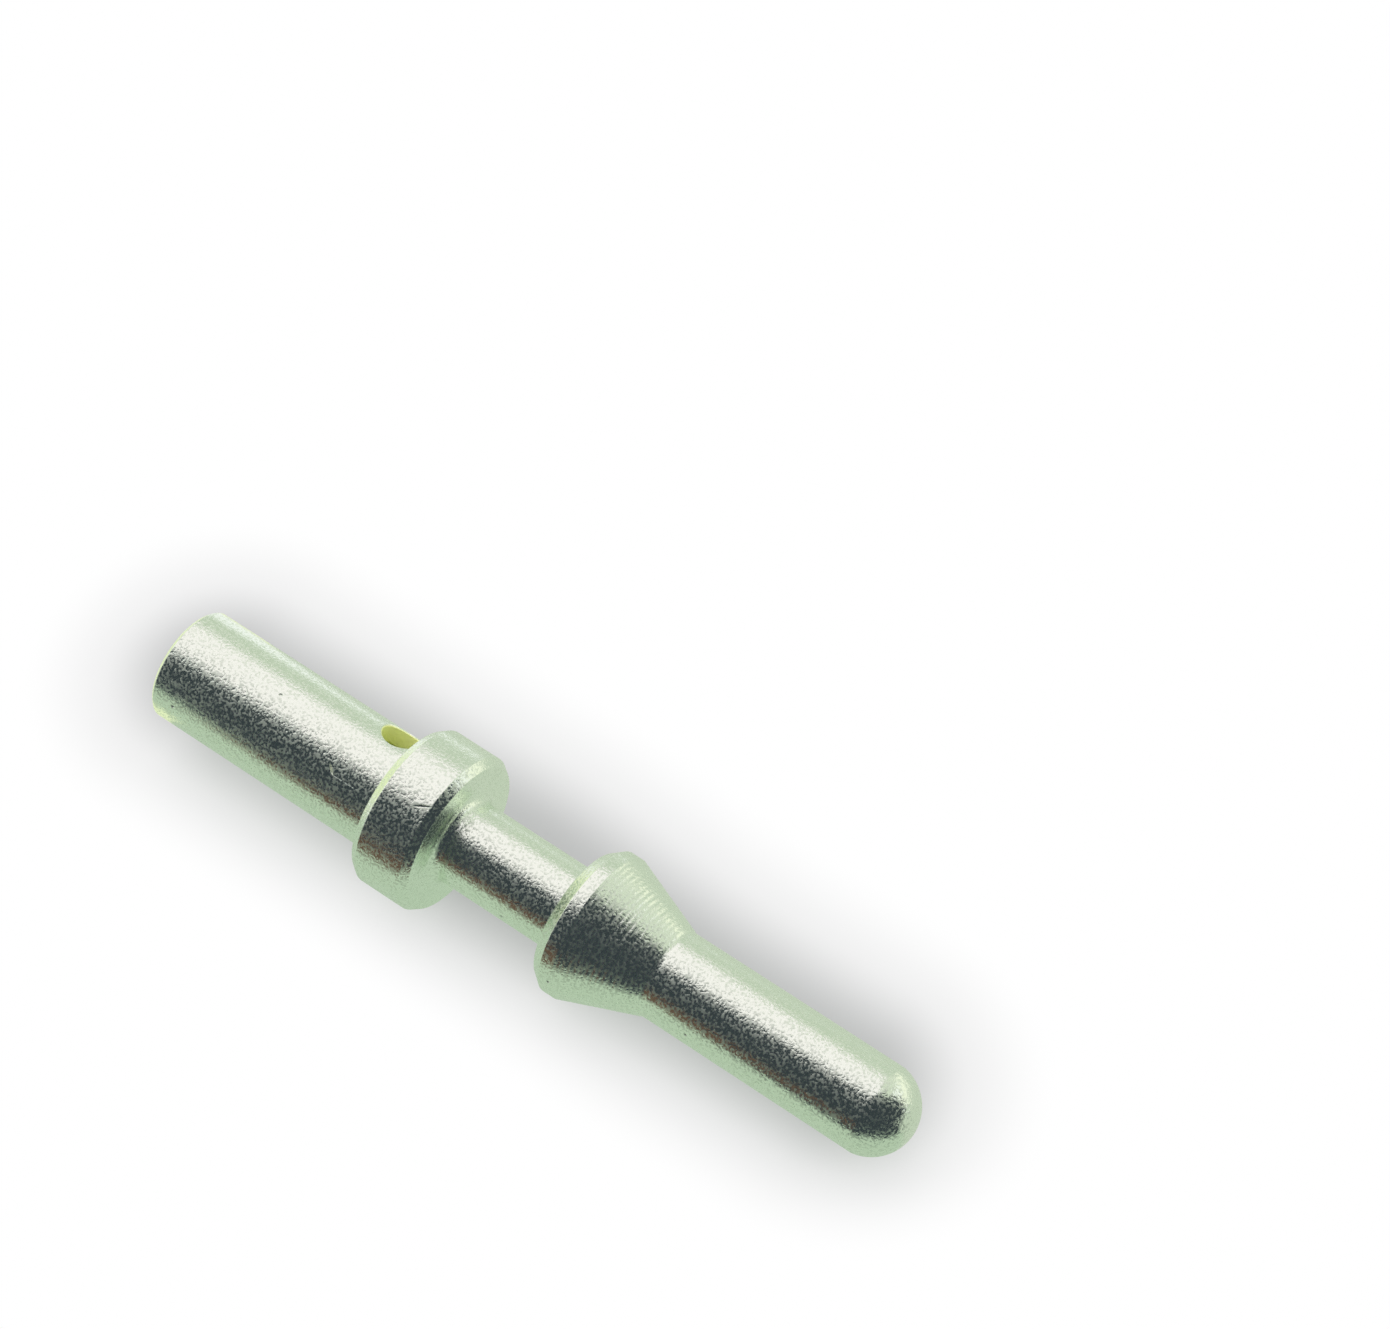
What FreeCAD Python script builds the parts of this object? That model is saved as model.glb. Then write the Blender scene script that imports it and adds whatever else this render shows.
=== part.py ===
import FreeCAD, Part
import os
import Sketcher

# Turned crimp pin contact, one piece of plated brass. It is modelled along +X,
# from the mouth of the crimp barrel at the origin to the nose of the pin, and
# then laid on the ground as it comes to rest, on the edges of its collar and
# of its retention cone.

NODE = "pin_contact"
SHEET = "Sizes"

# Driving dimensions: alias, value in mm or degrees, meaning.
SIZES = (
    ("bore_diameter", 2.25, "wire bore"),
    ("bore_overrun", 0.05, "shoulder of the wire bore, past the collar's rear face"),
    ("drill_point_angle", 118, "bottom of the wire bore"),
    ("barrel_wall", 0.475, "wall round the wire bore"),
    ("barrel_length", 7.3, "mouth to the rear face of the collar"),
    ("sight_hole_diameter", 1.1, "hole that shows that the wire is home"),
    ("sight_hole_gap", 0.2, "sight hole to the rear face of the collar"),
    ("sight_hole_roll", -37, "turn of the sight hole about the contact's axis, from straight up"),
    ("collar_length", 1.85, "rear face to front face"),
    ("collar_height", 0.7, "land of the collar above the barrel"),
    ("neck_length", 3.85, "front face of the collar to the rear face of the cone"),
    ("neck_diameter", 2.35, "the waist that a housing's clip holds"),
    ("rim_length", 0.7, "rear face of the cone to the start of its taper"),
    ("rim_diameter", 4.2, "largest diameter of the cone"),
    ("taper_length", 2.25, "rim to pin"),
    ("pin_diameter", 2.5, "contact pin"),
    ("pin_length", 7.5, "end of the taper to the tip of the nose"),
    ("nose_edge_angle", 9, "how far the domed nose is from meeting the pin smoothly"),
    ("mouth_break", 0.1, "outer edge of the barrel's mouth"),
    ("mouth_lead_in", 0.15, "inner edge of the barrel's mouth"),
    ("collar_break_length", 0.24, "both edge breaks of the collar, along the axis"),
    ("collar_break_height", 0.17, "both edge breaks of the collar, below its land"),
    ("rim_break_length", 0.34, "rear edge break of the cone, along the axis"),
    ("rim_break_height", 0.26, "rear edge break of the cone, below its rim"),
    ("barrel_root_radius", 0.15, "barrel to collar"),
    ("neck_root_radius", 0.3, "collar to neck"),
    ("rim_root_radius", 0.2, "neck to cone"),
)

# Places along the axis and radii, all worked out from the driving dimensions.
BORE_R = "(Sizes.bore_diameter / 2)"
BARREL_R = f"({BORE_R} + Sizes.barrel_wall)"
COLLAR_R = f"({BARREL_R} + Sizes.collar_height)"
NECK_R = "(Sizes.neck_diameter / 2)"
RIM_R = "(Sizes.rim_diameter / 2)"
PIN_R = "(Sizes.pin_diameter / 2)"
COLLAR_REAR = "Sizes.barrel_length"
COLLAR_FRONT = f"({COLLAR_REAR} + Sizes.collar_length)"
RIM_REAR = f"({COLLAR_FRONT} + Sizes.neck_length)"
TAPER_START = f"({RIM_REAR} + Sizes.rim_length)"
TAPER_END = f"({TAPER_START} + Sizes.taper_length)"
TIP = f"({TAPER_END} + Sizes.pin_length)"
NOSE_LENGTH = f"({PIN_R} * tan(45 - Sizes.nose_edge_angle / 2))"
NOSE_START = f"({TIP} - {NOSE_LENGTH})"
BORE_DEPTH = f"({COLLAR_REAR} + Sizes.bore_overrun)"
SIGHT_HOLE_X = f"({COLLAR_REAR} - Sizes.sight_hole_gap - Sizes.sight_hole_diameter / 2)"

# Both ends of the collar's land and the rear end of the rim's, and the radii below them.
COLLAR_LAND_START = f"({COLLAR_REAR} + Sizes.collar_break_length)"
COLLAR_LAND_END = f"({COLLAR_FRONT} - Sizes.collar_break_length)"
RIM_LAND_START = f"({RIM_REAR} + Sizes.rim_break_length)"
COLLAR_FACE_R = f"({COLLAR_R} - Sizes.collar_break_height)"
RIM_FACE_R = f"({RIM_R} - Sizes.rim_break_height)"

# Corners of the turned outline above the axis, from the mouth to the nose.
OUTLINE = (
    ("mouth", "0", BARREL_R),
    ("barrel_end", COLLAR_REAR, BARREL_R),
    ("collar_rear", COLLAR_REAR, COLLAR_FACE_R),
    ("collar_land_start", COLLAR_LAND_START, COLLAR_R),
    ("collar_land_end", COLLAR_LAND_END, COLLAR_R),
    ("collar_front", COLLAR_FRONT, COLLAR_FACE_R),
    ("neck_start", COLLAR_FRONT, NECK_R),
    ("neck_end", RIM_REAR, NECK_R),
    ("rim_rear", RIM_REAR, RIM_FACE_R),
    ("rim_land_start", RIM_LAND_START, RIM_R),
    ("taper_start", TAPER_START, RIM_R),
    ("taper_end", TAPER_END, PIN_R),
    ("nose_start", NOSE_START, PIN_R),
)

# The contact lies on its collar and on the rim of its cone: on their front edges where
# the collar is the larger, which dips the nose, and else on their rear edges.
NOSE_DIPS = f"{COLLAR_R} > {RIM_R}"
COLLAR_TOUCH = f"({NOSE_DIPS} ? {COLLAR_LAND_END} : {COLLAR_LAND_START})"
RIM_TOUCH = f"({NOSE_DIPS} ? {TAPER_START} : {RIM_LAND_START})"
TILT = f"atan(({COLLAR_R} - {RIM_R}) / ({RIM_TOUCH} - {COLLAR_TOUCH}))"

EDGE_TOLERANCE = 1e-4
ORIGIN_POINT = (-1, 1)
X_AXIS = -1


def make_sheet(doc):
    """The table of driving dimensions, one row each."""
    sheet = doc.addObject("Spreadsheet::Sheet", SHEET)
    for row, (alias, value, meaning) in enumerate(SIZES, 1):
        sheet.set(f"A{row}", alias)
        sheet.set(f"B{row}", str(value))
        sheet.set(f"C{row}", meaning)
        sheet.setAlias(f"B{row}", alias)
    doc.recompute()
    return sheet


def worth(sheet, expression):
    """The number that an expression on the sheet comes to."""
    value = sheet.evalExpression(expression)
    return float(getattr(value, "Value", value))


def origin_plane(body, role):
    """One of the body's own origin planes."""
    return next(o for o in body.Origin.OriginFeatures if o.Role == role)


def new_sketch(body, name, role):
    """A sketch on one of the body's origin planes."""
    sketch = body.newObject("Sketcher::SketchObject", name)
    sketch.AttachmentSupport = [(origin_plane(body, role), "")]
    sketch.MapMode = "FlatFace"
    return sketch


def bind(sketch, kind, name, expression, start, end):
    """A named distance in a sketch that follows an expression."""
    value = worth(sketch.Document.getObject(SHEET), expression)
    index = sketch.addConstraint(Sketcher.Constraint(kind, *start, *end, value))
    sketch.renameConstraint(index, name)
    sketch.setExpression(f"Constraints.{name}", expression)


def outline_points(sheet):
    """The outline's corners as points, with the mouth's centre first."""
    corners = [FreeCAD.Vector(0, 0, 0)]
    for _, along, radius in OUTLINE:
        corners.append(FreeCAD.Vector(worth(sheet, along), worth(sheet, radius), 0))
    return corners


def nose_arc(start, tip):
    """The arc from the pin's edge to the tip, centred on the axis."""
    height = tip.x - start.x
    radius = (start.y**2 + height**2) / (2 * height)
    centre = FreeCAD.Vector(tip.x - radius, 0, 0)
    circle = Part.Circle(centre, FreeCAD.Vector(0, 0, 1), radius)
    return Part.ArcOfCircle(circle, 0, circle.parameter(start))


def draw_outline(body, sheet):
    """Half of the turned shape's section, closed along the axis."""
    sketch = new_sketch(body, "TurnedOutline", "XZ_Plane")
    corners = outline_points(sheet)
    lines = [
        sketch.addGeometry(Part.LineSegment(a, b)) for a, b in zip(corners, corners[1:])
    ]
    tip = FreeCAD.Vector(worth(sheet, TIP), 0, 0)
    nose = sketch.addGeometry(nose_arc(corners[-1], tip))
    axis = sketch.addGeometry(Part.LineSegment(tip, corners[0]))
    for before, after in zip(lines, lines[1:]):
        sketch.addConstraint(Sketcher.Constraint("Coincident", before, 2, after, 1))
    sketch.addConstraint(Sketcher.Constraint("Coincident", lines[-1], 2, nose, 2))
    sketch.addConstraint(Sketcher.Constraint("Coincident", nose, 1, axis, 1))
    sketch.addConstraint(Sketcher.Constraint("Coincident", axis, 2, lines[0], 1))
    sketch.addConstraint(Sketcher.Constraint("Coincident", lines[0], 1, *ORIGIN_POINT))
    sketch.addConstraint(Sketcher.Constraint("PointOnObject", nose, 3, X_AXIS))
    sketch.addConstraint(Sketcher.Constraint("PointOnObject", axis, 1, X_AXIS))
    sketch.addConstraint(Sketcher.Constraint("Vertical", lines[0]))
    bind(sketch, "DistanceX", "tip", TIP, ORIGIN_POINT, (axis, 1))
    for line, (name, along, radius) in zip(lines, OUTLINE):
        if line != lines[0]:
            bind(sketch, "DistanceX", f"{name}_x", along, ORIGIN_POINT, (line, 2))
        bind(sketch, "DistanceY", f"{name}_r", radius, ORIGIN_POINT, (line, 2))
    return sketch


def turn_outline(body, sketch):
    """The solid of revolution, with all its corners still sharp."""
    turned = body.newObject("PartDesign::Revolution", "TurnedShape")
    turned.Profile = sketch
    turned.ReferenceAxis = (sketch, ["H_Axis"])
    turned.Angle = 360
    body.Document.recompute()
    return turned


def drill_bore(body):
    """The blind wire bore, drilled from the rear end."""
    sheet = body.Document.getObject(SHEET)
    sketch = new_sketch(body, "BoreCentre", "YZ_Plane")
    radius = worth(sheet, BORE_R)
    sketch.addGeometry(Part.Circle(FreeCAD.Vector(0, 0, 0), FreeCAD.Vector(0, 0, 1), radius))
    sketch.addConstraint(Sketcher.Constraint("Coincident", 0, 3, *ORIGIN_POINT))
    diameter = sketch.addConstraint(Sketcher.Constraint("Diameter", 0, 2 * radius))
    sketch.renameConstraint(diameter, "bore")
    sketch.setExpression("Constraints.bore", "Sizes.bore_diameter")
    body.Document.recompute()
    bore = body.newObject("PartDesign::Hole", "WireBore")
    bore.Profile = sketch
    bore.Reversed = True
    bore.DepthType = "Dimension"
    bore.DrillPoint = "Angled"
    bore.setExpression("Diameter", "Sizes.bore_diameter")
    bore.setExpression("Depth", BORE_DEPTH)
    bore.setExpression("DrillPointAngle", "Sizes.drill_point_angle")
    body.Document.recompute()
    return bore


def drill_sight_hole(body):
    """The hole through one wall of the barrel, next to the collar."""
    sheet = body.Document.getObject(SHEET)
    sketch = new_sketch(body, "SightHoleCentre", "XY_Plane")
    centre = FreeCAD.Vector(worth(sheet, SIGHT_HOLE_X), 0, 0)
    radius = worth(sheet, "Sizes.sight_hole_diameter / 2")
    sketch.addGeometry(Part.Circle(centre, FreeCAD.Vector(0, 0, 1), radius))
    sketch.addConstraint(Sketcher.Constraint("PointOnObject", 0, 3, X_AXIS))
    diameter = sketch.addConstraint(Sketcher.Constraint("Diameter", 0, 2 * radius))
    sketch.renameConstraint(diameter, "hole")
    sketch.setExpression("Constraints.hole", "Sizes.sight_hole_diameter")
    bind(sketch, "DistanceX", "along", SIGHT_HOLE_X, ORIGIN_POINT, (0, 3))
    hole = body.newObject("PartDesign::Pocket", "SightHole")
    hole.Profile = sketch
    hole.Reversed = True
    hole.setExpression("Length", COLLAR_R)
    body.Document.recompute()
    return hole


def ring_names(shape, along, radius):
    """Names of the edges that make up the ring about the axis at an x and a radius."""
    names = []
    centre = FreeCAD.Vector(along, 0, 0)
    for number, edge in enumerate(shape.Edges, 1):
        if edge.Degenerated or not isinstance(edge.Curve, Part.Circle):
            continue
        off = edge.Curve.Center.distanceToPoint(centre)
        if max(off, abs(edge.Curve.Radius - radius)) < EDGE_TOLERANCE:
            names.append(f"Edge{number}")
    if not names:
        raise ValueError(f"no round edge at x {along}, radius {radius}")
    return names


def work_edges(body, kind, name, size, corner):
    """Breaks or rounds the round edge at the given (x, radius) expressions."""
    sheet = body.Document.getObject(SHEET)
    base = body.Tip
    along, radius = (worth(sheet, place) for place in corner)
    feature = body.newObject(f"PartDesign::{kind}", name)
    feature.Base = (base, ring_names(base.Shape, along, radius))
    feature.setExpression("Size" if kind == "Chamfer" else "Radius", size)
    body.Document.recompute()
    return feature


def finish_edges(body):
    """The edge breaks and root radii that the turning tools leave."""
    work_edges(body, "Chamfer", "MouthBreak", "Sizes.mouth_break", ("0", BARREL_R))
    work_edges(body, "Chamfer", "MouthLeadIn", "Sizes.mouth_lead_in", ("0", BORE_R))
    barrel_root = (COLLAR_REAR, BARREL_R)
    work_edges(body, "Fillet", "BarrelRoot", "Sizes.barrel_root_radius", barrel_root)
    work_edges(body, "Fillet", "NeckRoot", "Sizes.neck_root_radius", (COLLAR_FRONT, NECK_R))
    work_edges(body, "Fillet", "RimRoot", "Sizes.rim_root_radius", (RIM_REAR, NECK_R))


def lay_down(body, sheet):
    """Rolls the contact about its axis, tips it and sets it on the ground."""
    roll = FreeCAD.Rotation(FreeCAD.Vector(1, 0, 0), worth(sheet, "Sizes.sight_hole_roll"))
    tilt = FreeCAD.Rotation(FreeCAD.Vector(0, 1, 0), worth(sheet, TILT))
    centred = worth(sheet, f"-cos({TILT}) * {TIP} / 2")
    height = worth(sheet, f"sin({TILT}) * {COLLAR_TOUCH} + cos({TILT}) * {COLLAR_R}")
    body.Placement = FreeCAD.Placement(FreeCAD.Vector(centred, 0, height), tilt * roll)


def make_contact(doc, sheet):
    """The whole contact as one body."""
    body = doc.addObject("PartDesign::Body", "Contact")
    body.Label = NODE
    turned = turn_outline(body, draw_outline(body, sheet))
    bored = drill_bore(body)
    pierced = drill_sight_hole(body)
    for before, after in ((turned, bored), (bored, pierced)):
        if after.Shape.Volume >= before.Shape.Volume:
            raise ValueError(f"{after.Name} removed nothing")
    finish_edges(body)
    lay_down(body, sheet)
    doc.recompute()
    return body


def check(doc, body):
    """Stops before anything is written if a feature failed or the solid is unsound."""
    for thing in doc.Objects:
        if "Invalid" in thing.State or "Error" in thing.State:
            raise ValueError(f"{thing.Name} failed: {thing.State}")
    shape = body.Shape
    if shape.isNull() or not shape.isValid() or len(shape.Solids) != 1:
        raise ValueError(f"{body.Label} isn't one valid solid")


def main():
    doc = FreeCAD.newDocument("CrimpPinContact")
    contact = make_contact(doc, make_sheet(doc))
    check(doc, contact)
    os.makedirs("parts", exist_ok=True)
    contact.Shape.exportStep(f"parts/{contact.Label}.step")


main()
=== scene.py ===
import math
import random

import bmesh
import bpy
from mathutils import Matrix, Vector


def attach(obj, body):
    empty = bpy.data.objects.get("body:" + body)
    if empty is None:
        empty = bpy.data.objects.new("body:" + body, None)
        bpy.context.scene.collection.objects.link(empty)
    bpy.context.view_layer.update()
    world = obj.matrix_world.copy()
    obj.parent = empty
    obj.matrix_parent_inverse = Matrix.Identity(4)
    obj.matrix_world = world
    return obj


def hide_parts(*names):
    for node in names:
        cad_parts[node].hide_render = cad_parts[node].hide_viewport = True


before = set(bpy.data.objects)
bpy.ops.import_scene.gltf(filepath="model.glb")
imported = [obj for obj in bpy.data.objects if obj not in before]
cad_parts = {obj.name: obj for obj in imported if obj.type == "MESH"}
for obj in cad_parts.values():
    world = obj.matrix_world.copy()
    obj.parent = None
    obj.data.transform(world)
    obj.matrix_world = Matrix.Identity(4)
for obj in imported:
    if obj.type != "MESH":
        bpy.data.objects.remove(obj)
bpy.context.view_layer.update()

# The looks of a turned crimp pin contact: one piece of satin silver plate.
# Lengths here are in millimetres, and places are measured along the contact's own axis
# from the mouth of its crimp barrel. They become metres when they reach the scene.

MM = 0.001
NODE = "pin_contact"

# Driving dimensions of the contact.
BORE_R = 1.125
BARREL_R = 1.6
COLLAR_R = 2.3
NECK_R = 1.175
RIM_R = 2.1
PIN_R = 1.25
BORE_DEPTH = 7.35
DRILL_POINT_ANGLE = math.radians(118)
BARREL_LENGTH = 7.3
COLLAR_LENGTH = 1.85
NECK_LENGTH = 3.85
RIM_LENGTH = 0.7
TAPER_LENGTH = 2.25
PIN_LENGTH = 7.5
NOSE_EDGE_ANGLE = math.radians(9)
MOUTH_BREAK = 0.1
MOUTH_LEAD_IN = 0.15
COLLAR_BREAK_LENGTH = 0.24
COLLAR_BREAK_HEIGHT = 0.17
RIM_BREAK_LENGTH = 0.34
RIM_BREAK_HEIGHT = 0.26
BARREL_ROOT_RADIUS = 0.15
NECK_ROOT_RADIUS = 0.3
RIM_ROOT_RADIUS = 0.2
SIGHT_HOLE_R = 0.55
SIGHT_HOLE_GAP = 0.2
SIGHT_HOLE_ROLL = math.radians(-37)

# Places along the axis.
COLLAR_REAR = BARREL_LENGTH
COLLAR_FRONT = COLLAR_REAR + COLLAR_LENGTH
RIM_REAR = COLLAR_FRONT + NECK_LENGTH
TAPER_START = RIM_REAR + RIM_LENGTH
TAPER_END = TAPER_START + TAPER_LENGTH
TIP = TAPER_END + PIN_LENGTH
NOSE_LENGTH = PIN_R * math.tan(math.pi / 4 - NOSE_EDGE_ANGLE / 2)
SIGHT_HOLE_X = COLLAR_REAR - SIGHT_HOLE_GAP - SIGHT_HOLE_R

# The contact lies on the front edges of its collar and of its cone's rim.
COLLAR_TOUCH = COLLAR_FRONT - COLLAR_BREAK_LENGTH
TILT = math.atan((COLLAR_R - RIM_R) / (TAPER_START - COLLAR_TOUCH))
REAR_CENTRE = Vector(
    (-math.cos(TILT) * TIP / 2, 0, math.sin(TILT) * COLLAR_TOUCH + math.cos(TILT) * COLLAR_R)
)

# Finish of the turned surface: softened edges, and how finely round shapes are divided.
SOFT_EDGE = 0.04
FINE_EDGE = 0.02
HOLE_BREAK = 0.05
SEGMENTS = 256
HOLE_SIDES = 96
ARC_STEPS = 5
NOSE_STEPS = 40
SHARP_ANGLE = math.radians(35)

# A rounded corner takes up at most this share of the stretches beside it.
CORNER_SHARE = 0.49

# A stretch over this length gets a point this near to each of its ends.
LONG_STRETCH = 0.2
SUPPORT = 0.03

# Anything nearer to the axis than this is on it.
ON_AXIS = 0.000001

# Turning lines round the cone: uneven in depth, the shallowest this share of the deepest.
TURNING_PITCH = 0.145
TURNING_LINES = round(TAPER_LENGTH / TURNING_PITCH)
TURNING_DEPTH = 0.011
TURNING_SHALLOWEST = 0.2
TURNING_STEPS = 6
TURNING_SEED = 4

# Wear marks: place along the axis, turn about it in degrees from the sight hole, radius
# there, then half the length, width and depth of the mark, and its slant in degrees.
MARKS = (
    (8.7, -59.8, COLLAR_R, 0.26, 0.06, 0.04, 27),
    (5.73, -74.2, BARREL_R, 0.19, 0.035, 0.02, -45),
    (0.78, -112.2, BARREL_R, 0.06, 0.05, 0.03, 0),
    (3.37, -41.7, BARREL_R, 0.06, 0.04, 0.025, 20),
    (11.45, -130.6, NECK_R, 0.05, 0.04, 0.025, 0),
    (13.66, -123.6, RIM_R, 0.05, 0.05, 0.03, 0),
    (17.35, -119.9, PIN_R, 0.055, 0.045, 0.025, 0),
)

# How many times the ball that cuts a mark is divided.
MARK_FINENESS = 3

# Silver plate with a satin grain: the roughness of its ground and of its specks, the
# noise level at which specks start and are full, specks per millimetre, and their height.
SILVER = (0.84, 0.92, 0.81, 1)
SMOOTH_GRAIN = 0.16
ROUGH_GRAIN = 0.48
GRAIN_START = 0.42
GRAIN_END = 0.66
GRAIN_SCALE = 14
GRAIN_DETAIL = 1
GRAIN_HEIGHT = 0.01

# The bottoms of the turning lines are rougher, in patches counted per millimetre.
GROOVE_ROUGHNESS = 0.6
GROOVE_PATCHES = 3.5

# Brass that shows where the plating is thin, inside the barrel from the start to the limit.
# It is rougher there, and its dullness is the share of its metal look that it loses.
BRASS = (0.93, 0.98, 0.42, 1)
BRASS_ROUGHNESS = 0.6
BRASS_DULLNESS = 0.7
BARE_START = 3
BARE_END = 6
BARE_LIMIT = 8.5

# The photograph's view.
IMAGE_WIDTH = 1390
FOCAL_PIXELS = 4000
SENSOR_WIDTH = 36
VIEW_AZIMUTH = math.radians(36.311)
VIEW_ELEVATION = math.radians(52.783)
VIEW_AIM = Vector((-1.127, 8.355, 2.0)) * MM
VIEW_DISTANCE = 107.459 * MM
NEAREST_SEEN = 0.05 * VIEW_DISTANCE
FARTHEST_SEEN = 100 * VIEW_DISTANCE

# The floor has a painted shadow, a grey halo beside a line under the contact, and turns white away from
# it.
# Beyond the line the painted shadow is narrower beside the pin than beside the barrel.
FLOOR_SIZE = 4000
FLOOR_COLOUR = (0.63, 0.64, 0.64, 1)
PAINTED_SHADOW_COLOUR = (0.48, 0.49, 0.49, 1)
PAINTED_SHADOW_MIDDLE = (-1.7, 1.6)
PAINTED_SHADOW_HALF_LENGTH = 10.5
PAINTED_SHADOW_START = 1
PAINTED_SHADOW_END = 3.4
PAINTED_SHADOW_NARROWING = 0.5
PAINTED_SHADOW_NARROW_START = -3
PAINTED_SHADOW_NARROW_END = 5

# The contact's own shadow has this share of the floor's look, and fades with the distance.
SHADOW_SHARE = 0.4
SHADOW_FADE_START = 2.6
SHADOW_FADE_END = 5.6

# Light of the world, and the colours of the studio. All but the white and the main light colour
# the cards, which are painted reflections and painted highlights.
AMBIENT = 0.85
WHITE = (1, 1, 1, 1)
BLACK = (0, 0, 0)
DARK = (0.04, 0.05, 0.059)
WARM_DARK = (0.13, 0.08, 0.058)
PALE_GREEN = (0.6, 0.66, 0.55)
BRIGHT_GREEN = (0.72, 0.76, 0.65)
SHADED_GREEN = (0.51, 0.61, 0.48)
BRIGHT_YELLOW = (0.88, 0.93, 0.62)
BRIGHT_WHITE = (1, 1, 0.85)
MAIN_LIGHT = (1.07, 0.98, 1.02)

# Lights and cards by name: angles across and above the photograph's line of sight in
# degrees, distance, width, height and colour.
SOFTBOXES = (("softbox_main", -9, 63.5, 160, 170, 165, MAIN_LIGHT),)
# These cards are painted reflections of a dark room, of pale walls and of the softbox's black back: they
# show only in the contact's surface and throw no light.
CARDS = (
    ("dark_room_painted_reflection", 0, -10, 260, 2400, 500, DARK),
    ("softbox_back", -9, 63.5, 170, 184, 178, BLACK),
    ("pale_wall_right_painted_reflection", 35, 62, 240, 138, 240, BRIGHT_GREEN),
    ("pale_wall_far_painted_reflection", 0, 110, 300, 1500, 260, PALE_GREEN),
)

# Upright cards by name: heading from +Y towards +X in degrees, distance, width, lowest and
# highest edge, and colour.
# These cards are painted highlights of two windows and a painted warm reflection: they show only in the
# contact's surface and throw no light.
UPRIGHT_CARDS = (
    ("window_right_painted_highlight", 34, 100, 92, 2, 46, BRIGHT_WHITE),
    ("window_left_painted_highlight", -80, 60, 70, 0, 30, BRIGHT_YELLOW),
    ("warm_strip_painted_reflection", 186, 30, 18, 0, 5, WARM_DARK),
)

# Cards that lie on the floor by name, each over those before it: their ends along and across
# the contact, and colour.
TABLE_CARD_LIFT = 0.01
# These cards are painted reflections of the table, of painted shade beside the contact and of a bright
# yellow painted highlight behind it: they show only in the contact's surface.
TABLE_CARDS = (
    ("table_card_dark", -300, 300, -300, -8, DARK),
    ("table_card_ahead", 16, 300, -8, 5, DARK),
    ("table_card_far", -13, 300, 0, 240, PALE_GREEN),
    ("table_card_near_pin", -3, 16, -8, 0, SHADED_GREEN),
    ("table_card_near_barrel", -20, -3, -14, 0, SHADED_GREEN),
    ("table_card_warm", -14, 4, -30, -8, WARM_DARK),
    ("table_card_rear", -40, -12.2, -3, 6, BRIGHT_YELLOW),
)


def arc_corner(before, corner, after, radius):
    """Points of a rounded corner of an outline, or the corner itself where it is too small to round."""
    to_before = (before - corner).normalized()
    to_after = (after - corner).normalized()
    half = to_before.angle(to_after) / 2
    reach = radius / math.tan(half)
    limit = CORNER_SHARE * min((before - corner).length, (after - corner).length)
    if reach > limit:
        radius *= limit / reach
        reach = limit
    start = corner + to_before * reach
    end = corner + to_after * reach
    centre = corner + (to_before + to_after).normalized() * radius / math.sin(half)
    first = start - centre
    turn = first.angle_signed(end - centre)
    points = []
    for step in range(ARC_STEPS + 1):
        arm = first.copy()
        arm.rotate(Matrix.Rotation(-turn * step / ARC_STEPS, 2))
        points.append(centre + arm)
    return points


def turned_outline():
    """Corners of the outline as (along, radius, rounding), from the bottom of the bore to the nose."""
    drill_point = BORE_DEPTH + BORE_R / math.tan(DRILL_POINT_ANGLE / 2)
    return [
        (drill_point, 0, 0),
        (BORE_DEPTH, BORE_R, FINE_EDGE),
        (MOUTH_LEAD_IN, BORE_R, FINE_EDGE),
        (0, BORE_R + MOUTH_LEAD_IN, FINE_EDGE),
        (0, BARREL_R - MOUTH_BREAK, SOFT_EDGE),
        (MOUTH_BREAK, BARREL_R, SOFT_EDGE),
        (COLLAR_REAR, BARREL_R, BARREL_ROOT_RADIUS),
        (COLLAR_REAR, COLLAR_R - COLLAR_BREAK_HEIGHT, SOFT_EDGE),
        (COLLAR_REAR + COLLAR_BREAK_LENGTH, COLLAR_R, SOFT_EDGE),
        (COLLAR_FRONT - COLLAR_BREAK_LENGTH, COLLAR_R, SOFT_EDGE),
        (COLLAR_FRONT, COLLAR_R - COLLAR_BREAK_HEIGHT, SOFT_EDGE),
        (COLLAR_FRONT, NECK_R, NECK_ROOT_RADIUS),
        (RIM_REAR, NECK_R, RIM_ROOT_RADIUS),
        (RIM_REAR, RIM_R - RIM_BREAK_HEIGHT, SOFT_EDGE),
        (RIM_REAR + RIM_BREAK_LENGTH, RIM_R, SOFT_EDGE),
        (TAPER_START, RIM_R, FINE_EDGE),
    ]


def taper_points():
    """The cone's slope with the fine lines that turning leaves round it."""
    chance = random.Random(TURNING_SEED)
    depths = [TURNING_DEPTH * chance.uniform(TURNING_SHALLOWEST, 1) for line in range(TURNING_LINES)]
    points = []
    for step in range(1, TURNING_LINES * TURNING_STEPS):
        share = step / (TURNING_LINES * TURNING_STEPS)
        groove = depths[step // TURNING_STEPS] * math.sin(math.pi * share * TURNING_LINES) ** 2
        radius = RIM_R + (PIN_R - RIM_R) * share - groove
        points.append(Vector((TAPER_START + TAPER_LENGTH * share, radius)))
    return points


def nose_points():
    """The domed nose: part of a ball that starts at a small angle from the pin."""
    ball = (PIN_R**2 + NOSE_LENGTH**2) / (2 * NOSE_LENGTH)
    start = math.asin(PIN_R / ball)
    if NOSE_LENGTH > ball:
        start = math.pi - start
    points = []
    for step in range(NOSE_STEPS + 1):
        angle = start * (1 - step / NOSE_STEPS)
        points.append(Vector((TIP - ball + ball * math.cos(angle), ball * math.sin(angle))))
    return points


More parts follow.
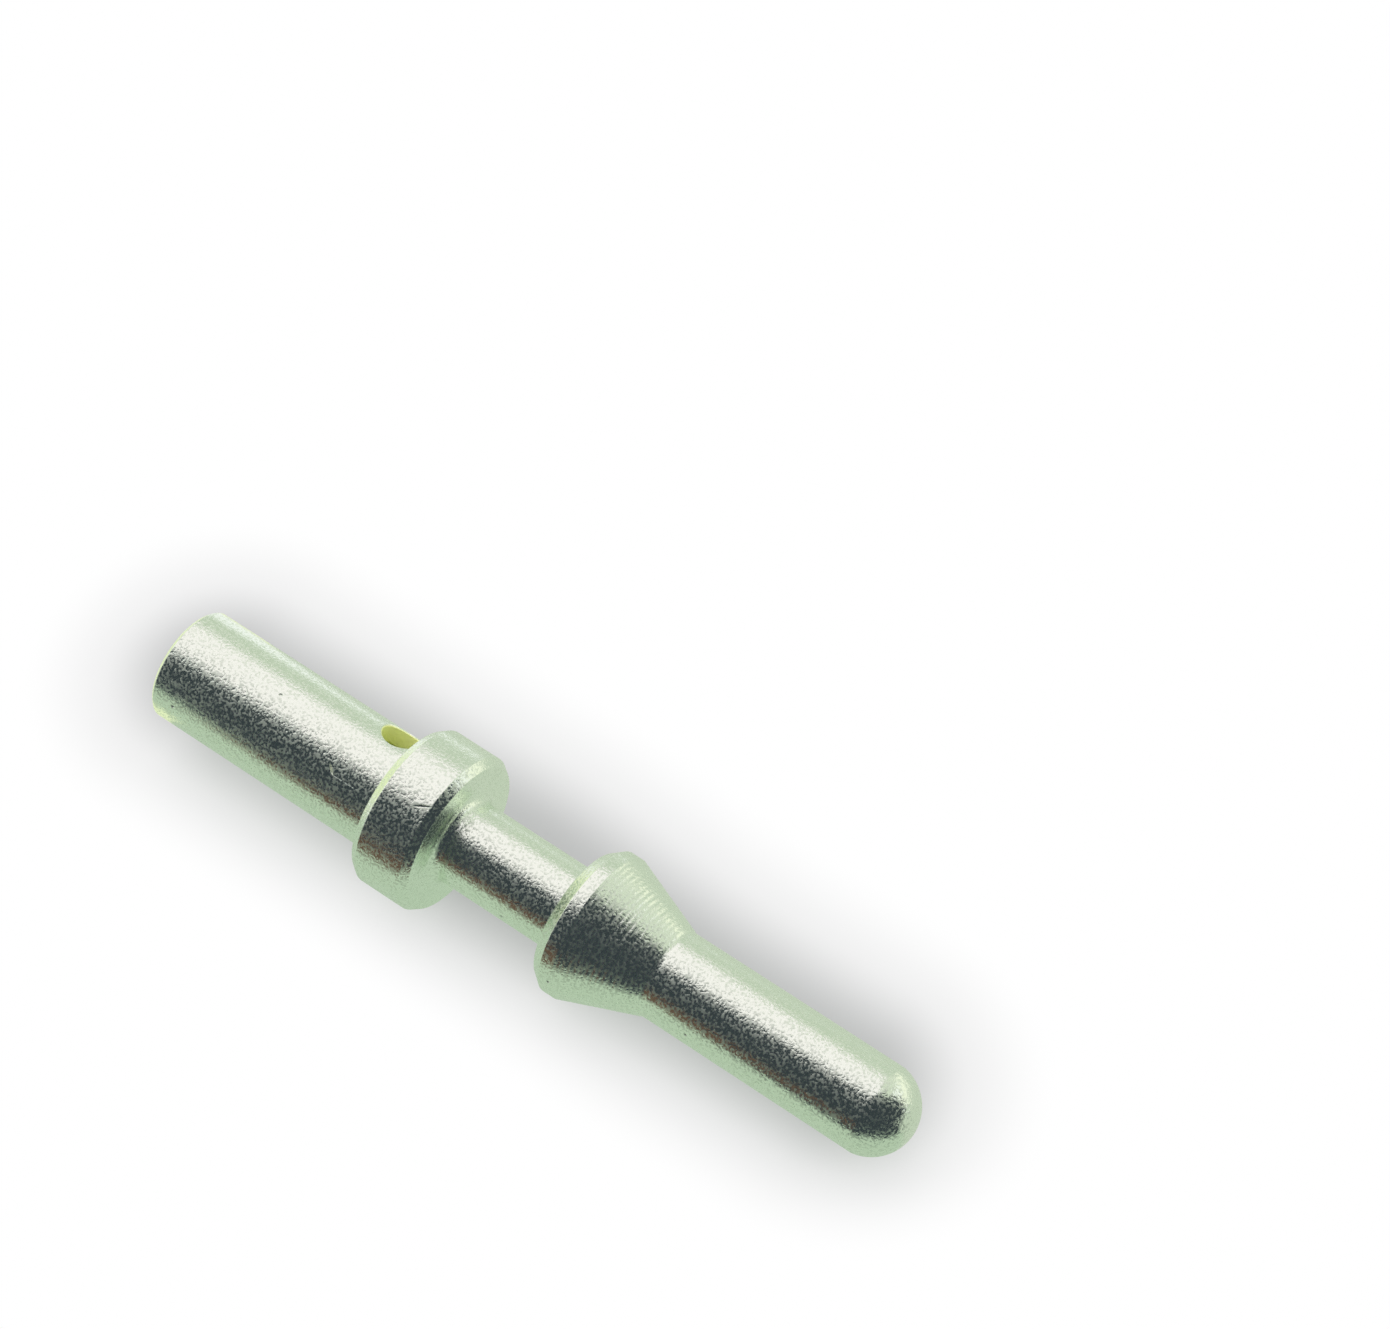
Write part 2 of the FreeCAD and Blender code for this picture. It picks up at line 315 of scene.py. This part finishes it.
def full_outline():
    """Every point of the turned outline, from the bottom of the bore to the tip."""
    corners = turned_outline()
    places = [Vector(corner[:2]) for corner in corners] + [Vector((TAPER_END, PIN_R))]
    points = [places[0]]
    for before, corner, after, spec in zip(places, places[1:], places[2:], corners[1:]):
        points += arc_corner(before, corner, after, spec[2])
    return supported(points + taper_points() + [Vector((TAPER_END, PIN_R))] + nose_points())


def supported(points):
    """The outline with a point near both ends of each long stretch, which keeps its shading straight."""
    full = [points[0]]
    for start, end in zip(points, points[1:]):
        stretch = end - start
        if stretch.length > LONG_STRETCH:
            step = stretch.normalized() * SUPPORT
            full += [start + step, end - step]
        full.append(end)
    return full


def to_frame():
    """Where the contact lies: from its own axis to the frame, in metres."""
    roll = Matrix.Rotation(SIGHT_HOLE_ROLL, 4, "X")
    tilt = Matrix.Rotation(TILT, 4, "Y")
    return Matrix.Scale(MM, 4) @ Matrix.Translation(REAR_CENTRE) @ tilt @ roll


def lathe(name, outline):
    """An object turned about the X axis from an outline that starts and ends on it."""
    made = bmesh.new()
    rings = []
    for point in outline:
        if point.y < ON_AXIS:
            rings.append([made.verts.new((point.x, 0, 0))])
            continue
        ring = []
        for segment in range(SEGMENTS):
            angle = 2 * math.pi * segment / SEGMENTS
            side, up = point.y * math.sin(angle), point.y * math.cos(angle)
            ring.append(made.verts.new((point.x, side, up)))
        rings.append(ring)
    for first, second in zip(rings, rings[1:]):
        for segment in range(SEGMENTS):
            following = (segment + 1) % SEGMENTS
            if len(first) == 1:
                face = (first[0], second[segment], second[following])
            elif len(second) == 1:
                face = (first[segment], second[0], first[following])
            else:
                face = (first[segment], second[segment], second[following], first[following])
            made.faces.new(face)
    return from_bmesh(name, made)


def add_object(name, data):
    """A new object of the scene that holds the data."""
    thing = bpy.data.objects.new(name, data)
    bpy.context.scene.collection.objects.link(thing)
    return thing


def sight_hole_drill():
    """A cutter for the sight hole, whose broken edge follows the barrel's curve."""
    made = bmesh.new()
    rings = []
    # Each ring is this much wider than the hole, and this far above the barrel's surface.
    # The first lies on the axis.
    steps = ((0, None), (0, -HOLE_BREAK), (HOLE_BREAK, 0), (2 * HOLE_BREAK, HOLE_BREAK))
    for wider, above in steps:
        ring = []
        for side in range(HOLE_SIDES):
            angle = 2 * math.pi * side / HOLE_SIDES
            reach = SIGHT_HOLE_R + wider
            across = reach * math.sin(angle)
            up = 0 if above is None else math.sqrt(BARREL_R**2 - across**2) + above
            ring.append(made.verts.new((SIGHT_HOLE_X + reach * math.cos(angle), across, up)))
        rings.append(ring)
    for first, second in zip(rings, rings[1:]):
        for side in range(HOLE_SIDES):
            after = (side + 1) % HOLE_SIDES
            made.faces.new((first[side], first[after], second[after], second[side]))
    made.faces.new(reversed(rings[0]))
    top = made.verts.new((SIGHT_HOLE_X, 0, COLLAR_R))
    for side in range(HOLE_SIDES):
        made.faces.new((rings[-1][side], rings[-1][(side + 1) % HOLE_SIDES], top))
    return from_bmesh("sight_hole_drill", made)


def mark_cutters():
    """Small flattened balls that cut the wear marks into the surface."""
    made = bmesh.new()
    for along, turn, radius, length, width, depth, slant in MARKS:
        about = Matrix.Rotation(math.radians(-turn), 4, "X")
        place = Matrix.Translation((along, 0, radius))
        slanted = Matrix.Rotation(math.radians(slant), 4, "Z")
        shape = about @ place @ slanted @ Matrix.Diagonal((length, width, depth, 1))
        bmesh.ops.create_icosphere(made, subdivisions=MARK_FINENESS, radius=1, matrix=shape)
    return from_bmesh("mark_cutters", made)


def from_bmesh(name, made):
    """An object with the mesh that was made."""
    bmesh.ops.recalc_face_normals(made, faces=made.faces)
    mesh = bpy.data.meshes.new(name)
    made.to_mesh(mesh)
    made.free()
    return add_object(name, mesh)


def cut(thing, cutter):
    """Cuts the cutter's shape out of the thing, and removes the cutter."""
    modifier = thing.modifiers.new("Cut", "BOOLEAN")
    modifier.object = cutter
    modifier.operation = "DIFFERENCE"
    modifier.solver = "EXACT"
    graph = bpy.context.evaluated_depsgraph_get()
    result = bpy.data.meshes.new_from_object(thing.evaluated_get(graph))
    thing.modifiers.clear()
    thing.data = result
    bpy.data.objects.remove(cutter)


def make_contact():
    """The contact's detailed surface, in place of the plain node."""
    contact = lathe("contact_surface", full_outline())
    cut(contact, sight_hole_drill())
    cut(contact, mark_cutters())
    contact.data.transform(to_frame())
    contact.data.shade_smooth()
    contact.data.set_sharp_from_angle(angle=SHARP_ANGLE)
    contact.data.materials.clear()
    contact.data.materials.append(silver_plate())
    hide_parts(NODE)
    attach(contact, "root")


def node(tree, kind, **inputs):
    """A shader node with some of its inputs set."""
    made = tree.nodes.new(kind)
    for name, value in inputs.items():
        made.inputs[name.replace("_", " ")].default_value = value
    return made


def combined(tree, operation, first, second):
    """A maths node whose inputs are sockets or plain numbers."""
    made = tree.nodes.new("ShaderNodeMath")
    made.operation = operation
    for socket, value in zip(made.inputs, (first, second)):
        if isinstance(value, bpy.types.NodeSocket):
            tree.links.new(value, socket)
        else:
            socket.default_value = value
    return made.outputs["Value"]


def ramped(tree, value, start, end):
    """0 before the start and 1 past the end, which are in millimetres, and smooth between them."""
    made = tree.nodes.new("ShaderNodeMapRange")
    made.interpolation_type = "SMOOTHSTEP"
    made.inputs["From Min"].default_value = start * MM
    made.inputs["From Max"].default_value = end * MM
    tree.links.new(value, made.inputs["Value"])
    return made.outputs["Result"]


def own_place(tree, place):
    """A place's distance along the contact's own axis and from it, in metres."""
    own = tree.nodes.new("ShaderNodeMapping")
    own.vector_type = "TEXTURE"
    own.inputs["Location"].default_value = REAR_CENTRE * MM
    own.inputs["Rotation"].default_value = (0, TILT, 0)
    tree.links.new(place, own.inputs["Vector"])
    apart = tree.nodes.new("ShaderNodeSeparateXYZ")
    tree.links.new(own.outputs["Vector"], apart.inputs["Vector"])
    squares = [combined(tree, "MULTIPLY", apart.outputs[axis], apart.outputs[axis]) for axis in "YZ"]
    radius = combined(tree, "SQRT", combined(tree, "ADD", *squares), 0)
    return apart.outputs["X"], radius


def bare_share(tree, along, radius):
    """1 on the sight hole's wall and deep in the bore, where the plating is thin, and 0 elsewhere."""
    outside = ramped(tree, radius, BARREL_R - HOLE_BREAK, BARREL_R)
    inside = combined(tree, "SUBTRACT", 1, outside)
    deep = ramped(tree, along, BARE_START, BARE_END)
    beyond = ramped(tree, along, BARE_LIMIT, BARE_LIMIT + HOLE_BREAK)
    share = combined(tree, "MULTIPLY", inside, deep)
    return combined(tree, "MULTIPLY", share, combined(tree, "SUBTRACT", 1, beyond))


def groove_share(tree, along, place):
    """Up to 1 at the bottom of the cone's turning lines, in uneven patches, and 0 elsewhere."""
    turns = math.pi * TURNING_LINES / (TAPER_LENGTH * MM)
    phase = combined(tree, "MULTIPLY", combined(tree, "SUBTRACT", along, TAPER_START * MM), turns)
    wave = combined(tree, "SINE", phase, 0)
    started = combined(tree, "GREATER_THAN", along, TAPER_START * MM)
    ended = combined(tree, "LESS_THAN", along, TAPER_END * MM)
    on_cone = combined(tree, "MULTIPLY", started, ended)
    patches = node(tree, "ShaderNodeTexNoise", Scale=GROOVE_PATCHES / MM, Detail=GRAIN_DETAIL)
    tree.links.new(place, patches.inputs["Vector"])
    uneven = combined(tree, "MULTIPLY", on_cone, patches.outputs["Fac"])
    return combined(tree, "MULTIPLY", combined(tree, "MULTIPLY", wave, wave), uneven)


def grain_roughness(tree, grain):
    """Rough specks in a smoother ground."""
    made = tree.nodes.new("ShaderNodeMapRange")
    made.interpolation_type = "SMOOTHSTEP"
    made.inputs["From Min"].default_value = GRAIN_START
    made.inputs["From Max"].default_value = GRAIN_END
    made.inputs["To Min"].default_value = SMOOTH_GRAIN
    made.inputs["To Max"].default_value = ROUGH_GRAIN
    tree.links.new(grain, made.inputs["Value"])
    return made.outputs["Result"]


def silver_plate():
    """Satin silver plating with a fine even grain, worn thin inside the sight hole."""
    material = bpy.data.materials.new("silver_plate")
    material.use_nodes = True
    tree = material.node_tree
    shader = tree.nodes["Principled BSDF"]
    place = tree.nodes.new("ShaderNodeTexCoord").outputs["Object"]
    along, radius = own_place(tree, place)
    bare = bare_share(tree, along, radius)
    colour = tree.nodes.new("ShaderNodeMix")
    colour.data_type = "RGBA"
    colour.inputs["A"].default_value = SILVER
    colour.inputs["B"].default_value = BRASS
    tree.links.new(bare, colour.inputs["Factor"])
    tree.links.new(colour.outputs["Result"], shader.inputs["Base Color"])
    metallic = combined(tree, "SUBTRACT", 1, combined(tree, "MULTIPLY", bare, BRASS_DULLNESS))
    tree.links.new(metallic, shader.inputs["Metallic"])
    grain = node(tree, "ShaderNodeTexNoise", Scale=GRAIN_SCALE / MM, Detail=GRAIN_DETAIL)
    tree.links.new(place, grain.inputs["Vector"])
    rough = combined(tree, "MULTIPLY", bare, BRASS_ROUGHNESS)
    grooves = combined(tree, "MULTIPLY", groove_share(tree, along, place), GROOVE_ROUGHNESS)
    rough = combined(tree, "MAXIMUM", rough, grooves)
    roughness = combined(tree, "MAXIMUM", rough, grain_roughness(tree, grain.outputs["Fac"]))
    tree.links.new(roughness, shader.inputs["Roughness"])
    bump = node(tree, "ShaderNodeBump", Strength=1, Distance=GRAIN_HEIGHT * MM)
    tree.links.new(grain.outputs["Fac"], bump.inputs["Height"])
    tree.links.new(bump.outputs["Normal"], shader.inputs["Normal"])
    return material


def camera():
    """The photograph's view, without roll."""
    data = bpy.data.cameras.new("Camera")
    data.sensor_width = SENSOR_WIDTH
    data.lens = FOCAL_PIXELS * SENSOR_WIDTH / IMAGE_WIDTH
    data.clip_start = NEAREST_SEEN
    data.clip_end = FARTHEST_SEEN
    seen = add_object("Camera", data)
    back = view_axes()[2]
    seen.location = VIEW_AIM + back * VIEW_DISTANCE
    seen.rotation_mode = "QUATERNION"
    seen.rotation_quaternion = (-back).to_track_quat("-Z", "Y")
    bpy.context.scene.camera = seen


def view_axes():
    """The photograph's right, up and back directions."""
    back = Vector(
        (
            math.sin(VIEW_AZIMUTH) * math.cos(VIEW_ELEVATION),
            -math.cos(VIEW_AZIMUTH) * math.cos(VIEW_ELEVATION),
            math.sin(VIEW_ELEVATION),
        )
    )
    right = Vector((0, 0, 1)).cross(back).normalized()
    return right, back.cross(right), back


def aimed(thing, across, above, distance):
    """Puts a lamp or card round the contact, by angles across and above the photograph's line of sight."""
    right, up, back = view_axes()
    ahead = back * math.cos(above) + up * math.sin(above)
    face = ahead * math.cos(across) + right * math.sin(across)
    thing.location = face * distance * MM
    side = right - face * right.dot(face)
    side.normalize()
    thing.rotation_mode = "QUATERNION"
    thing.rotation_quaternion = Matrix((side, face.cross(side), face)).transposed().to_quaternion()
    return thing


def softbox(name, across, above, distance, width, height, colour):
    """A soft light that faces the contact, with the power that makes it as bright as its colour."""
    light = bpy.data.lights.new(name, "AREA")
    light.shape = "RECTANGLE"
    light.size = width * MM
    light.size_y = height * MM
    light.color = colour
    light.energy = math.pi * light.size * light.size_y
    lamp = aimed(add_object(name, light), math.radians(across), math.radians(above), distance)
    lamp.visible_camera = False
    return lamp


def rectangle(name, width, height, material):
    """A flat sheet of the studio, centred on its own origin."""
    mesh = bpy.data.meshes.new(name)
    x, y = width * MM / 2, height * MM / 2
    mesh.from_pydata([(-x, -y, 0), (x, -y, 0), (x, y, 0), (-x, y, 0)], [], [(0, 1, 2, 3)])
    mesh.materials.append(material)
    thing = add_object(name, mesh)
    return thing


def only_reflected(thing):
    """Leaves a card to reflections: it throws no light or shadow of its own."""
    thing.visible_camera = False
    thing.visible_diffuse = False
    thing.visible_shadow = False
    thing.visible_volume_scatter = False
    return thing


def card(name, across, above, distance, width, height, colour):
    """A card that faces the contact, as a painted reflection."""
    thing = rectangle(name, width, height, glow(name, colour))
    aimed(thing, math.radians(across), math.radians(above), distance)
    return only_reflected(thing)


def upright_card(name, heading, distance, width, low, high, colour):
    """A card that stands up and faces the contact, as a painted highlight or painted reflection."""
    thing = rectangle(name, width, high - low, glow(name, colour))
    turn = math.radians(heading)
    thing.rotation_euler = (math.pi / 2, 0, -turn)
    thing.location = Vector((math.sin(turn) * distance, math.cos(turn) * distance, (low + high) / 2)) * MM
    return only_reflected(thing)


def table_card(name, rear, front, near, far, colour, lift):
    """A card that lies just above the floor, as a painted reflection."""
    thing = rectangle(name, front - rear, far - near, glow(name, colour))
    thing.location = Vector(((rear + front) / 2, (near + far) / 2, lift)) * MM
    return only_reflected(thing)


def glow(name, colour):
    """A flat glow of one colour, which a card shows as a painted reflection."""
    material = bpy.data.materials.new(name)
    material.use_nodes = True
    tree = material.node_tree
    tree.nodes.remove(tree.nodes["Principled BSDF"])
    light = node(tree, "ShaderNodeEmission", Color=(*colour, 1), Strength=1)
    tree.links.new(light.outputs["Emission"], tree.nodes["Material Output"].inputs["Surface"])
    return material


def seen_ray(tree):
    """1 for what is seen, also in metal or through glass, and 0 for the light that it throws."""
    rays = tree.nodes.new("ShaderNodeLightPath").outputs
    direct = combined(tree, "MAXIMUM", rays["Is Camera Ray"], rays["Is Glossy Ray"])
    return combined(tree, "MAXIMUM", direct, rays["Is Transmission Ray"])


def distance_from_contact(tree):
    """How far a place on the floor is from the line that the painted grey shadow surrounds, in metres."""
    apart = tree.nodes.new("ShaderNodeSeparateXYZ")
    place = tree.nodes.new("ShaderNodeTexCoord").outputs["Object"]
    tree.links.new(place, apart.inputs["Vector"])
    middle_along, middle_across = PAINTED_SHADOW_MIDDLE
    ahead = combined(tree, "SUBTRACT", apart.outputs["X"], middle_along * MM)
    along = combined(tree, "ABSOLUTE", ahead, 0)
    past = combined(tree, "MAXIMUM", combined(tree, "SUBTRACT", along, PAINTED_SHADOW_HALF_LENGTH * MM), 0)
    near = combined(tree, "SUBTRACT", middle_across * MM, apart.outputs["Y"])
    narrow = ramped(tree, apart.outputs["X"], PAINTED_SHADOW_NARROW_START, PAINTED_SHADOW_NARROW_END)
    shifted = combined(tree, "MULTIPLY", narrow, PAINTED_SHADOW_NARROWING * MM)
    far = combined(tree, "SUBTRACT", shifted, near)
    aside = combined(tree, "MAXIMUM", near, far)
    squares = [combined(tree, "MULTIPLY", reach, reach) for reach in (past, aside)]
    return combined(tree, "SQRT", combined(tree, "ADD", *squares), 0)


def painted_shadow_glow(tree, away):
    """The painted shadow: an even grey glow that turns white away from the contact."""
    colour = tree.nodes.new("ShaderNodeMix")
    colour.data_type = "RGBA"
    colour.inputs["A"].default_value = PAINTED_SHADOW_COLOUR
    colour.inputs["B"].default_value = WHITE
    tree.links.new(ramped(tree, away, PAINTED_SHADOW_START, PAINTED_SHADOW_END), colour.inputs["Factor"])
    light = node(tree, "ShaderNodeEmission", Strength=1)
    tree.links.new(colour.outputs["Result"], light.inputs["Color"])
    return light.outputs["Emission"]


def floor_material():
    """A pale floor that keeps part of the contact's shadow, mixed with a painted grey shadow that turns
    white away from it.
    """
    material = bpy.data.materials.new("floor")
    material.use_nodes = True
    tree = material.node_tree
    shader = tree.nodes["Principled BSDF"]
    shader.inputs["Base Color"].default_value = FLOOR_COLOUR
    shader.inputs["Roughness"].default_value = 1
    shader.inputs["Specular IOR Level"].default_value = 0
    # Near the contact, the floor's glow is a painted shadow, mixed with its lit surface.
    away = distance_from_contact(tree)
    faded = combined(tree, "SUBTRACT", 1, ramped(tree, away, SHADOW_FADE_START, SHADOW_FADE_END))
    share = combined(tree, "SUBTRACT", 1, combined(tree, "MULTIPLY", faded, SHADOW_SHARE))
    mixed = tree.nodes.new("ShaderNodeMixShader")
    tree.links.new(combined(tree, "MULTIPLY", seen_ray(tree), share), mixed.inputs["Fac"])
    tree.links.new(shader.outputs["BSDF"], mixed.inputs[1])
    tree.links.new(painted_shadow_glow(tree, away), mixed.inputs[2])
    tree.links.new(mixed.outputs["Shader"], tree.nodes["Material Output"].inputs["Surface"])
    return material


def white_world():
    """White where it is seen, and an even light elsewhere."""
    scene = bpy.context.scene
    world = bpy.data.worlds.new("World")
    scene.world = world
    world.use_nodes = True
    tree = world.node_tree
    ambient = tree.nodes["Background"]
    ambient.inputs["Color"].default_value = (AMBIENT, AMBIENT, AMBIENT, 1)
    white = node(tree, "ShaderNodeBackground", Color=WHITE, Strength=1)
    mixed = tree.nodes.new("ShaderNodeMixShader")
    tree.links.new(seen_ray(tree), mixed.inputs["Fac"])
    tree.links.new(ambient.outputs["Background"], mixed.inputs[1])
    tree.links.new(white.outputs["Background"], mixed.inputs[2])
    tree.links.new(mixed.outputs["Shader"], tree.nodes["World Output"].inputs["Surface"])


def studio():
    """A pale floor with a painted shadow, a soft light beyond the contact and cards that only its surface
    shows, which are painted reflections.
    """
    rectangle("floor", FLOOR_SIZE, FLOOR_SIZE, floor_material())
    white_world()
    for lamp in SOFTBOXES:
        softbox(*lamp)
    for sheet in CARDS:
        card(*sheet)
    for sheet in UPRIGHT_CARDS:
        upright_card(*sheet)
    for place, sheet in enumerate(TABLE_CARDS, start=1):
        table_card(*sheet, place * TABLE_CARD_LIFT)
    bpy.context.scene.view_settings.view_transform = "Standard"


make_contact()
camera()
studio()
